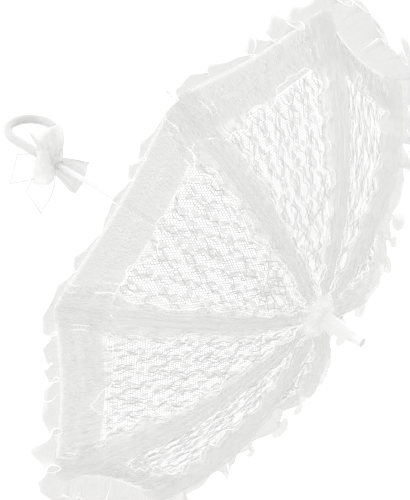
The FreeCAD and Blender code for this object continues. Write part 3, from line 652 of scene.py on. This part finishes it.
def makeLace():
    cell, leaf = cellPiece(), leafPiece()
    vMax, uMax = profileV[-1], profileR[-1] * math.tan(halfStep)
    netOf, leavesOf, cordsOf = ({i: [] for i in ribs} for _ in range(3))
    for i in ribs:
        for owned, (u, layers) in ((netOf, netPoints(i, uMax, vMax)), (leavesOf, leafPoints(i, uMax, vMax))):
            for owner, mask in ((i, u <= 0), (i % ribCount + 1, u > 0)):
                owned[owner].append([layer[mask] for layer in layers])
        for owner, lines in cordLines(i, uMax, vMax).items():
            cordsOf[owner] += lines
    for i in ribs:
        parts = []
        for owned, piece, thread in ((netOf, cell, laceThread), (leavesOf, leaf, motifThread)):
            cloud = pointCloud(*[np.concatenate(layer) for layer in zip(*owned[i])])
            parts.append((grow("laceWork", cloud, scatterTree, Piece=piece, Size=1.0, Finish=thread), thread))
        parts.append((boundEdge("laceWork", cordsOf[i], cords["radius"], cordThread, sides=3), cordThread))
        panel = softPiece(merged(f"lacePanel_{i}", parts), i, None)
    for obj in (cell, leaf):
        bpy.data.objects.remove(obj)


makeLace()
print("lace made")


def sineSum(x, terms):  # terms are (waves round the canopy, height, phase); x is 0..1 round the canopy
    return sum(h * np.sin(2 * math.pi * n * x + p) for n, h, p in terms)


def roundAt(i, f):  # 0..1 round the canopy, so that patterns meet between neighbours
    return ((i - 1) + np.asarray(f) / 2) / ribCount


def clothGrid(piece):  # f across the cloth and t from its sewn edge to its loose one
    return np.linspace(-1, 1, piece["columns"])[None, :], np.linspace(0, 1, piece["rows"])[:, None]


# Organza band inside the hem
border = {
    "columns": 200,
    "rows": 30,
    "gather": 0.0010,
    "gatherWaves": 400,  # waves are counted round the whole canopy
    "fine": 0.0009,
    "fineWaves": 648,
    "slack": 0.0022,
    "slackWaves": 56,
    "puff": 0.0022,
    "stitchAt": 0.52,  # a stitched line divides the band in two
    "stitchWidth": 0.06,
    "stitchPull": 0.75,
}


def makeBorder(i):
    f, t = clothGrid(border)
    x = roundAt(i, f)
    arch = np.sin(t * math.pi)
    gathers = np.sin(2 * math.pi * x * border["gatherWaves"] + 3 * np.sin(t * 5 + x * 150)) * arch ** 0.5
    fine = np.sin(2 * math.pi * x * border["fineWaves"] + t * 19) * np.sin(t * 33 + 60 * x)
    slack = np.sin(2 * math.pi * x * border["slackWaves"] + 2.2 * np.sin(t * 4 + x * 90)) * arch
    pinch = 1 - border["stitchPull"] * np.exp(-(((t - border["stitchAt"]) / border["stitchWidth"]) ** 2))
    folds = border["gather"] * gathers + border["fine"] * fine + border["slack"] * slack
    s = hemAt(f) - canopy["borderWidth"] * (1 - t)
    obj = gridObject(f"borderBand_{i}", onCloth(i, s, f, folds * pinch + border["puff"] * arch), flip=True)
    return softPiece(obj, i, borderOrganza)


# Loose sheer strip sewn in under the hem, whose bound edge wanders over the lace
flounce = {
    "columns": 220,
    "rows": 16,
    "tuck": 0.002,
    "depth": 0.070,
    "taper": 0.22,  # how much shorter it is in the middle of each gore
    "sway": 0.016,
    "sways": [(10, 0.55, 0.6), (21, 0.45, 2.2), (37, 0.3, 0.9), (63, 0.12, 1.7)],
    "lift": 0.0030,
    "flare": 0.0022,
    "fold": 0.0022,
    "foldWaves": 130,
    "crinkle": 0.0009,
    "crinkleWaves": 610,
    "edgeRadius": 0.0007,
}


def makeFlounce(i):
    f, t = clothGrid(flounce)
    x = roundAt(i, f)
    sway = flounce["sway"] * sineSum(x, flounce["sways"])
    reach = flounce["depth"] * (1 - flounce["taper"] * np.sin(math.pi * x * ribCount) ** 2) + sway
    folds = flounce["fold"] * np.sin(2 * math.pi * x * flounce["foldWaves"] + 3 * np.sin(x * 120) + 2 * t) * t
    crinkles = np.sin(2 * math.pi * x * flounce["crinkleWaves"] + 5 * t) * np.sin(t * math.pi)
    lift = flounce["lift"] + flounce["flare"] * t + folds + flounce["crinkle"] * crinkles
    points = onCloth(i, hemAt(f) - flounce["tuck"] - reach * t, f, lift)
    obj = gridObject(f"flounce_{i}", points, flip=True)
    edge = boundEdge(f"flounceEdge_{i}", [points[-1]], flounce["edgeRadius"])
    softPiece(obj, i, flounceOrganza)
    softPiece(edge, i, None)


# Bound hem, with a rolled line along each side
hem = {
    "columns": 120,
    "rows": 7,
    "width": 0.0075,
    "over": 0.001,  # how far it reaches past the cloth's edge
    "puff": 0.0012,
    "lift": 0.0011,
    "pucker": 0.0003,
    "puckerWaves": 720,
    "lineAt": (0.12, 0.88),
    "linePoints": 90,
    "lineLift": 0.0016,
    "lineRadius": 0.0005,
}


def makeHem(i):
    f, t = clothGrid(hem)
    pucker = np.sin(2 * math.pi * roundAt(i, f) * hem["puckerWaves"])
    lift = hem["lift"] + (hem["puff"] + hem["pucker"] * pucker) * np.sin(t * math.pi)
    s = hemAt(f) - hem["width"] * (1 - t) + hem["over"]
    obj = gridObject(f"hemBand_{i}", onCloth(i, s, f, lift), flip=True)
    softPiece(obj, i, bindingSatin)
    f = np.linspace(-1, 1, hem["linePoints"])
    lines = [
        onCloth(i, hemAt(f) - hem["width"] * across + hem["over"], f, hem["lineLift"])
        for across in hem["lineAt"]
    ]
    edge = boundEdge(f"hemEdge_{i}", lines, hem["lineRadius"])
    return [obj, softPiece(edge, i, None)]


# Narrow cloth over the rib that the two gores are sewn to
seamTape = {"columns": 7, "rows": 60, "half": 0.009, "lift": 0.0004, "underBorder": 0.002}


def makeSeamTape(i):
    w, t = clothGrid(seamTape)
    endS = canopy["hemS"] - canopy["borderWidth"] + seamTape["underBorder"]
    s = canopy["startS"] + (endS - canopy["startS"]) * t
    f = w * np.minimum(seamTape["half"] / (onRib(s)[0] * math.sin(step) / 2), 1)
    obj = gridObject(f"seamTape_{i}", onCloth(i, s, f, seamTape["lift"]), flip=True)
    return softPiece(obj, i, borderOrganza)


# Gathered ruffle over each rib
calmGore = 3  # the cloth lies flattest on this gore and stands up most opposite it
ruffle = {
    "startS": 0.014,
    "endInset": 0.002,
    "innerWidth": 0.011,
    "outerWidth": 0.030,
    "topWidth": 0.72,  # the upper layer's share of the lower one's width
    "keep": 0.12,
    "rise": 0.0060,
    "loftRise": 0.020,  # more height and width on the side where the ruffles stand up
    "loftWidth": 0.35,
    "lift": 0.0016,
    "pleat": 0.0008,
    "pleats": 5,
    "flutters": [(0.0028, 58, 2.3, 2), (0.0012, 131, 1, 0)],  # height, turn, shifts by rib and by side
    "rows": 110,
    "columns": 32,
    "edgeRadius": 0.0008,
}


def loftAt(i):  # 0 beside the calm gore, 1 on the far side of the canopy
    return 0.5 - 0.5 * math.cos(2 * math.pi * (i - 0.5 - calmGore) / ribCount)


def ruffleWidth(i, side, t):
    wave = 0.15 * np.sin(t * 15 + i * 2.1 + side) + 0.10 * np.sin(t * 37 + i * 1.3 - side * 2)
    gain = ruffle["outerWidth"] - ruffle["innerWidth"]
    width = ruffle["innerWidth"] + gain * np.minimum(t * 1.35, 1) ** 0.8
    return width * (1 + wave) * (1 + ruffle["loftWidth"] * loftAt(i))


def ruffleSide(i, side, top):
    t = np.linspace(0, 1, ruffle["rows"])[:, None]
    w = np.linspace(0, 1, ruffle["columns"])[None, :]
    endS = canopy["hemS"] - ruffle["endInset"]
    s = ruffle["startS"] + (endS - ruffle["startS"]) * t
    width = ruffleWidth(i, side, t) * (ruffle["topWidth"] if top else 1.0)
    f = side * w * width / (onRib(s)[0] * math.sin(step) / 2)
    phase = 2 * math.pi * ruffle["pleats"] * w * (1.3 if top else 1)
    phase = phase + 1.6 * np.sin(t * 9 + i) + i * 1.7 + side
    pleats = ruffle["pleat"] * np.sin(phase) * (0.35 + 0.65 * w)
    rise = (ruffle["rise"] + ruffle["loftRise"] * loftAt(i)) * (0.8 if top else 0.55)
    crown = rise * np.sin(np.minimum(w * 1.15, 1) * math.pi) ** 0.8 * np.minimum(1, 0.35 + t)
    flutter = sum(h * w ** 2 * np.sin(t * n + i * p + q * side) for h, n, p, q in ruffle["flutters"])
    return s, f, ruffle["lift"] * (2 if top else 1) + crown + pleats + flutter


def makeRuffle(i):
    made, edges, sizes = [], [], []
    for top in (False, True):
        for side in (-1, 1):
            s, f, lift = ruffleSide(i, side, top)
            points = onCloth(i, s, f, lift)
            made.append(gridObject(f"strip_{i}_{side}_{top}", points, flip=side > 0))
            sizes.append(cutSizes[made[-1].name])
            edges.append(points[:, -1])
    obj = joined(f"seamRuffle_{i}", made)
    edge = boundEdge(f"ruffleEdge_{i}", edges, ruffle["edgeRadius"])
    softPiece(obj, i, ruffleOrganza)
    softPiece(edge, i, None)
    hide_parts(f"seam_ruffle_{i}")


# Gathered frill round the rim
frill = {
    "nearLength": 0.016,
    "farLength": 0.052,
    "nearRise": math.radians(21),
    "farRise": math.radians(30),
    "looseness": [(13, 0.09, 0.4), (29, 0.08, 2.0), (47, 0.05, 1.1)],
    "folds": 40,
    "foldDrift": [(17, 1.6, 0.3), (9, 1.2, 1.9), (31, 0.5, 0.2)],
    "foldHeight": 0.0210,
    "foldSizes": [(11, 0.25, 1.0), (23, 0.25, 2.6)],
    "calmFold": 0.22,
    "clipped": 0.15,  # how much shorter the frill is round the fifth rib
    "clippedAt": 4 / ribCount,
    "clippedWidth": 0.07,
    "crease": 0.0006,
    "tuck": 0.002,
    "lift": 0.0024,
    "fan": 0.92,  # share of the gore's angle by which the frill turns outwards
    "bend": 0.55,  # share of a half turn that it curls through
    "droop": 0.10,
    "rows": 20,
    "columns": 300,
    "edgeRadius": 0.0008,
}


def frillReach(x):  # length, rise and calm of the frill round the canopy
    calm = (0.5 + 0.5 * np.cos(2 * math.pi * (x - (calmGore - 0.5) / ribCount))) ** 3
    loose = 1 + sineSum(x, frill["looseness"])
    loose = loose * (1 - frill["clipped"] * np.exp(-((x - frill["clippedAt"]) / frill["clippedWidth"]) ** 2))
    length = frill["farLength"] + (frill["nearLength"] - frill["farLength"]) * calm
    return length * loose, frill["farRise"] + (frill["nearRise"] - frill["farRise"]) * calm, calm


def frillPoints(i, f, t):
    x = roundAt(i, f)
    reach, rise, calm = frillReach(x)
    base = onCloth(i, hemAt(f) - frill["tuck"], f, frill["lift"])
    a = ribAngle(i) + f * halfStep * frill["fan"]
    out = np.stack([np.cos(a), np.sin(a), np.zeros_like(a)], -1)
    side = np.stack([-np.sin(a), np.cos(a), np.zeros_like(a)], -1)
    up = np.array([0, 0, 1.0])
    phase = 2 * math.pi * frill["folds"] * x + sineSum(x, frill["foldDrift"])
    size = frill["foldHeight"] * (1 + sineSum(x, frill["foldSizes"])) * (1 - (1 - frill["calmFold"]) * calm)
    fall = size * np.sin(phase) * t ** 1.2 + 0.22 * size * np.sin(3 * phase + 4 * t) * t ** 1.5
    roll = 1.05 * size * np.cos(phase + 0.5) * t ** 1.5 + 0.3 * size * np.sin(2 * phase + 1) * t ** 2
    fall = fall + frill["crease"] * np.sin(7 * phase + 5 * t) * np.sin(t * math.pi)
    away = reach * np.sin(t * math.pi * frill["bend"]) / math.sin(math.pi * frill["bend"])
    outward = away * np.cos(rise) - fall * np.sin(rise)
    upward = away * np.sin(rise) + fall * np.cos(rise) - frill["droop"] * reach * t ** 2
    return base + out * outward[..., None] + side * roll[..., None] + up * upward[..., None]


def makeFrill(i):
    points = frillPoints(i, *np.broadcast_arrays(*clothGrid(frill)))
    obj = gridObject(f"rimFrill_{i}", points, flip=True)
    edge = boundEdge(f"frillEdge_{i}", [points[-1]], frill["edgeRadius"])
    softPiece(obj, i, frillOrganza)
    softPiece(edge, i, None)
    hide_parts(f"rim_frill_{i}")


for i in ribs:
    band = makeBorder(i)
    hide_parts(f"gore_{i}")
    sewnOn = makeHem(i) + [makeSeamTape(i)]
    makeFlounce(i)
    makeRuffle(i)
    makeFrill(i)
print("canopy cloth made")


# Rosette round the ferrule
rosette = {
    # reach, height and waves of each layer
    "layers": [(0.037, 0.0020, 5), (0.033, 0.0060, 6), (0.028, 0.0100, 5), (0.022, 0.0135, 6)],
    "points": 180,
    "rows": 14,
    "under": 0.0005,  # how far the innermost edge sits inside the ferrule's foot
    "nest": 0.0002,
    "fold": 0.0035,
    "ripple": 0.0015,
    "arch": 0.003,
    "droop": 0.005,
    "sway": 0.16,
    "edgeRadius": 0.0006,
}
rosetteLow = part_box("rosette")[0]
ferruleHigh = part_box("ferrule")[1]


def rosetteLayer(k, reach, height, waves):
    turn = np.linspace(0, 2 * math.pi, rosette["points"] + 1)[None, :-1]
    t = np.linspace(0, 1, rosette["rows"])[:, None]
    inner = ferruleHigh.x - rosette["nest"] * k - rosette["under"]
    ripple = rosette["ripple"] * t * np.sin(turn * (waves * 2 + 1) + k)
    r = inner + (reach - inner) * np.sin(t * math.pi / 2) + ripple
    fold = rosette["fold"] * t * np.sin(turn * waves + k * 1.9 + 0.9 * np.sin(turn * 2 + k))
    z = rosetteLow.z + height + fold + rosette["arch"] * np.sin(t * math.pi) - rosette["droop"] * t ** 2
    sway = turn + rosette["sway"] * t * np.cos(turn * waves + k * 1.9)
    return np.stack([r * np.cos(sway), r * np.sin(sway), z], -1)


def makeRosette():
    layers = [rosetteLayer(k, *layer) for k, layer in enumerate(rosette["layers"])]
    made = [gridObject(f"layer_{k}", points, closed=True) for k, points in enumerate(layers)]
    obj = joined("rosetteFrills", made)
    obj.data.materials.append(rosetteOrganza)
    rims = [[*points[-1], points[-1][0]] for points in layers]
    edge = boundEdge("rosetteEdges", rims, rosette["edgeRadius"])
    for piece in (obj, edge):
        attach(piece, "stick")
    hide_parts("rosette")


makeRosette()
print("rosette made")


# Organza bow round the top of the grip
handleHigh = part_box("handle")[1]
bow = {
    "height": handleHigh.z - 0.010,
    "barRadius": handleHigh.y,
    "loops": [  # way out from the knot, length, width, seed
        ((-0.01, 1.01, -0.41), 0.046, 0.044, 0.4),
        ((0.69, -0.56, 0.42), 0.049, 0.050, 2.1),
        ((-0.95, 0.25, 0.10), 0.030, 0.050, 4.2),
    ],
    "tails": [((-0.71, -0.22, -0.67), 0.054, 0.040, 1.0), ((-0.63, -0.78, 0.05), 0.060, 0.036, 3.3)],
    "face": (-0.45, 0.45, 0.75),  # the side of the bow that the loops lie flat to
    "loopDepth": 0.026,
    "loopPoints": (70, 22),
    "tailPoints": (60, 20),
    "knotPoints": (13, 72),
    "knotLength": 0.018,
    "knotPuff": 0.0048,
    "knotGap": 0.0008,
    "edgeRadius": 0.0005,
}


def bowFrame(way):
    along = Vector(way).normalized()
    wide = Vector(bow["face"]).cross(along).normalized()
    start = np.array([0, 0, bow["height"]]) + np.array(along) * bow["barRadius"] * 0.8
    return [start] + [np.array(v) for v in (along, along.cross(wide), wide)]


def ribbonGrid(points):
    return np.linspace(0, 1, points[0])[:, None], np.linspace(-1, 1, points[1])[None, :]


def bowLoop(way, length, width, seed):  # ribbon that goes out, turns over and comes back to the knot
    start, along, depth, wide = bowFrame(way)
    t, w = ribbonGrid(bow["loopPoints"])
    out = length * np.sin(t * math.pi) ** 0.85 + 0.002 * w * np.sin(t * 9 + seed)
    deep = bow["loopDepth"] / 2 * np.sin(t * 2 * math.pi) * (1 + 0.15 * w)
    half = width / 2 * (0.40 + 0.60 * np.sin(t * math.pi) ** 0.6)
    pinch = 1 - np.sin(t * math.pi)
    gather = 0.0022 * np.sin(w * 9 + seed + 5 * t) * (0.35 + pinch) + 0.0018 * np.sin(t * 17 + w * 2 + seed)
    curl = 0.008 * w ** 2 * np.sin(t * 7 + seed) + 0.005 * w * np.sin(t * 4 + 2 * seed)
    grid = start + along * out[..., None]
    return grid + depth * (deep + gather + curl)[..., None] + wide * (half * w)[..., None]


def bowTail(way, length, width, seed):  # loose end, cut on the slant
    start, along, depth, wide = bowFrame(way)
    t, w = ribbonGrid(bow["tailPoints"])
    out = length * t * (1 + 0.16 * w * t)
    half = width / 2 * (0.25 + 0.75 * np.sin(np.minimum(t * 1.5, 1) * math.pi / 2))
    fold = 0.0045 * np.sin(t * 5 + w * 2.6 + seed) * t + 0.0014 * np.sin(w * 10 + seed) * (1 - 0.7 * t)
    return start + along * out[..., None] + depth * fold[..., None] + wide * (half * w)[..., None]


def bowKnot():
    rows, points = bow["knotPoints"]
    turn = np.linspace(0, 2 * math.pi, points + 1)[None, :-1]
    w = np.linspace(-1, 1, rows)[:, None]
    puff = bow["knotPuff"] * np.sqrt(np.clip(1 - w ** 2, 0, 1))
    radius = bow["barRadius"] + bow["knotGap"] + puff + 0.0004 * np.sin(w * 12 + 2 * np.sin(turn * 3))
    z = bow["height"] + bow["knotLength"] / 2 * w * (1 + 0.18 * np.sin(turn + 1))
    return np.stack([radius * np.cos(turn), radius * np.sin(turn), z], -1)


def makeRibbons(kind, grids, lines, material):
    made = [gridObject(f"ribbon_{kind}_{k}", grid) for k, grid in enumerate(grids)]
    obj = joined(f"bow{kind}", made)
    obj.data.materials.append(material)
    edge = boundEdge(f"bowEdge{kind}", lines, bow["edgeRadius"], cordThread)
    for part in (obj, edge):
        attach(part, "stick")


def makeBow():
    loops = [bowLoop(*loop) for loop in bow["loops"]]
    tails = [bowTail(*tail) for tail in bow["tails"]]
    makeRibbons("Loops", loops, [grid[:, side] for grid in loops for side in (0, -1)], bowOrganza)
    tailLines = [line for grid in tails for line in (grid[:, 0], grid[:, -1], grid[-1])]
    makeRibbons("Tails", tails, tailLines, tailOrganza)
    knot = gridObject("bowKnot", bowKnot(), closed=True)
    knot.data.materials.append(bowOrganza)
    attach(knot, "stick")
    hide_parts("bow")


makeBow()
print("bow made")


# Camera, light and floor
view = {
    "azimuth": 139.24,
    "elevation": 27.71,
    "roll": 120.27,
    "distance": 2.1275,
    "focal": 1577.0,
    "pictureHeight": 500,  # in the same unit as the focal length
    "aimRight": -0.02833,  # the canopy stands off the middle of the picture
    "aimUp": 0.01754,
}
studio = {  # lights: towards the eye, up and right in the picture, then size and power
    "sky": 0.70,
    "key": ((1.6, 1.5, -1.2), 0.9, 7),
    "back": ((-0.8, 1.4, 1.4), 1.2, 4),
    "floorGlow": 0.45,
    "floorZ": -0.75,
    "floorHalf": 40,
    "sheerLayers": 24,  # how many layers of sheer cloth light may pass
}
rimCentre = Vector((0, 0, tipZ))


def makeCamera():
    az, el, roll = (math.radians(view[k]) for k in ("azimuth", "elevation", "roll"))
    back = Vector((math.cos(el) * math.cos(az), math.cos(el) * math.sin(az), math.sin(el)))
    right = Vector((0, 0, 1)).cross(back).normalized()
    up = back.cross(right)
    pictureRight = right * math.cos(roll) + up * math.sin(roll)
    pictureUp = -right * math.sin(roll) + up * math.cos(roll)
    eye = rimCentre + back * view["distance"]
    aim = rimCentre + pictureRight * view["aimRight"] + pictureUp * view["aimUp"]
    away = (eye - aim).normalized()
    right = pictureUp.cross(away).normalized()
    camera = bpy.data.cameras.new("camera")
    camera.lens = view["focal"] / view["pictureHeight"] * camera.sensor_width
    camera.clip_end = studio["floorHalf"] * 1.5
    obj = bpy.data.objects.new("camera", camera)
    obj.matrix_world = Matrix((right, away.cross(right), away)).transposed().to_4x4()
    obj.matrix_world.translation = eye
    bpy.context.scene.collection.objects.link(obj)
    bpy.context.scene.camera = obj
    return (eye - rimCentre).normalized(), pictureUp, pictureRight


def areaLight(name, ways):
    steps, size, power = studio[name]
    light = bpy.data.lights.new(name, "AREA")
    light.shape, light.size, light.energy = "DISK", size, power
    obj = bpy.data.objects.new(name, light)
    obj.location = rimCentre + sum((way * amount for way, amount in zip(ways, steps)), Vector())
    obj.rotation_euler = (rimCentre - obj.location).to_track_quat("-Z", "Y").to_euler()
    bpy.context.scene.collection.objects.link(obj)


def makeStudio(ways):
    world = bpy.data.worlds.new("studio")
    bpy.context.scene.world = world
    world.use_nodes = True
    sky = world.node_tree.nodes["Background"]
    sky.inputs["Color"].default_value = (1, 1, 1, 1)
    sky.inputs["Strength"].default_value = studio["sky"]
    areaLight("key", ways)
    areaLight("back", ways)
    half, z = studio["floorHalf"], studio["floorZ"]
    corners = [(-half, -half, z), (half, -half, z), (half, half, z), (-half, half, z)]
    floor = meshObject("floor", corners, [(0, 1, 2, 3)])
    mat, _, shader = nodeMaterial("floorPale", (1, 1, 1), roughness=0.9)
    lit(shader, studio["floorGlow"])
    floor.data.materials.append(mat)
    bpy.context.scene.view_settings.view_transform = "Standard"
    bpy.context.scene.cycles.transparent_max_bounces = studio["sheerLayers"]


makeStudio(makeCamera())
print("studio set")


# Hard pieces keep their shapes and get their finishes
finishes = {
    "handle": handlePlastic, "shaft": enamel, "ferrule": ferrulePlastic, "ferrule_tip": ferrulePlastic,
    "crown": ferrulePlastic, "runner": ferrulePlastic, "crown_wire": springSteel, "runner_wire": springSteel,
    "top_catch": springSteel, "bottom_catch": springSteel,
}
for i in ribs:
    finishes.update({f"rib_{i}": enamel, f"stretcher_{i}": enamel, f"rib_tip_{i}": ferrulePlastic})
for node, finish in finishes.items():
    piece = frame["nodes"][node]
    piece.data.materials.clear()
    piece.data.materials.append(finish)
print("finishes set")
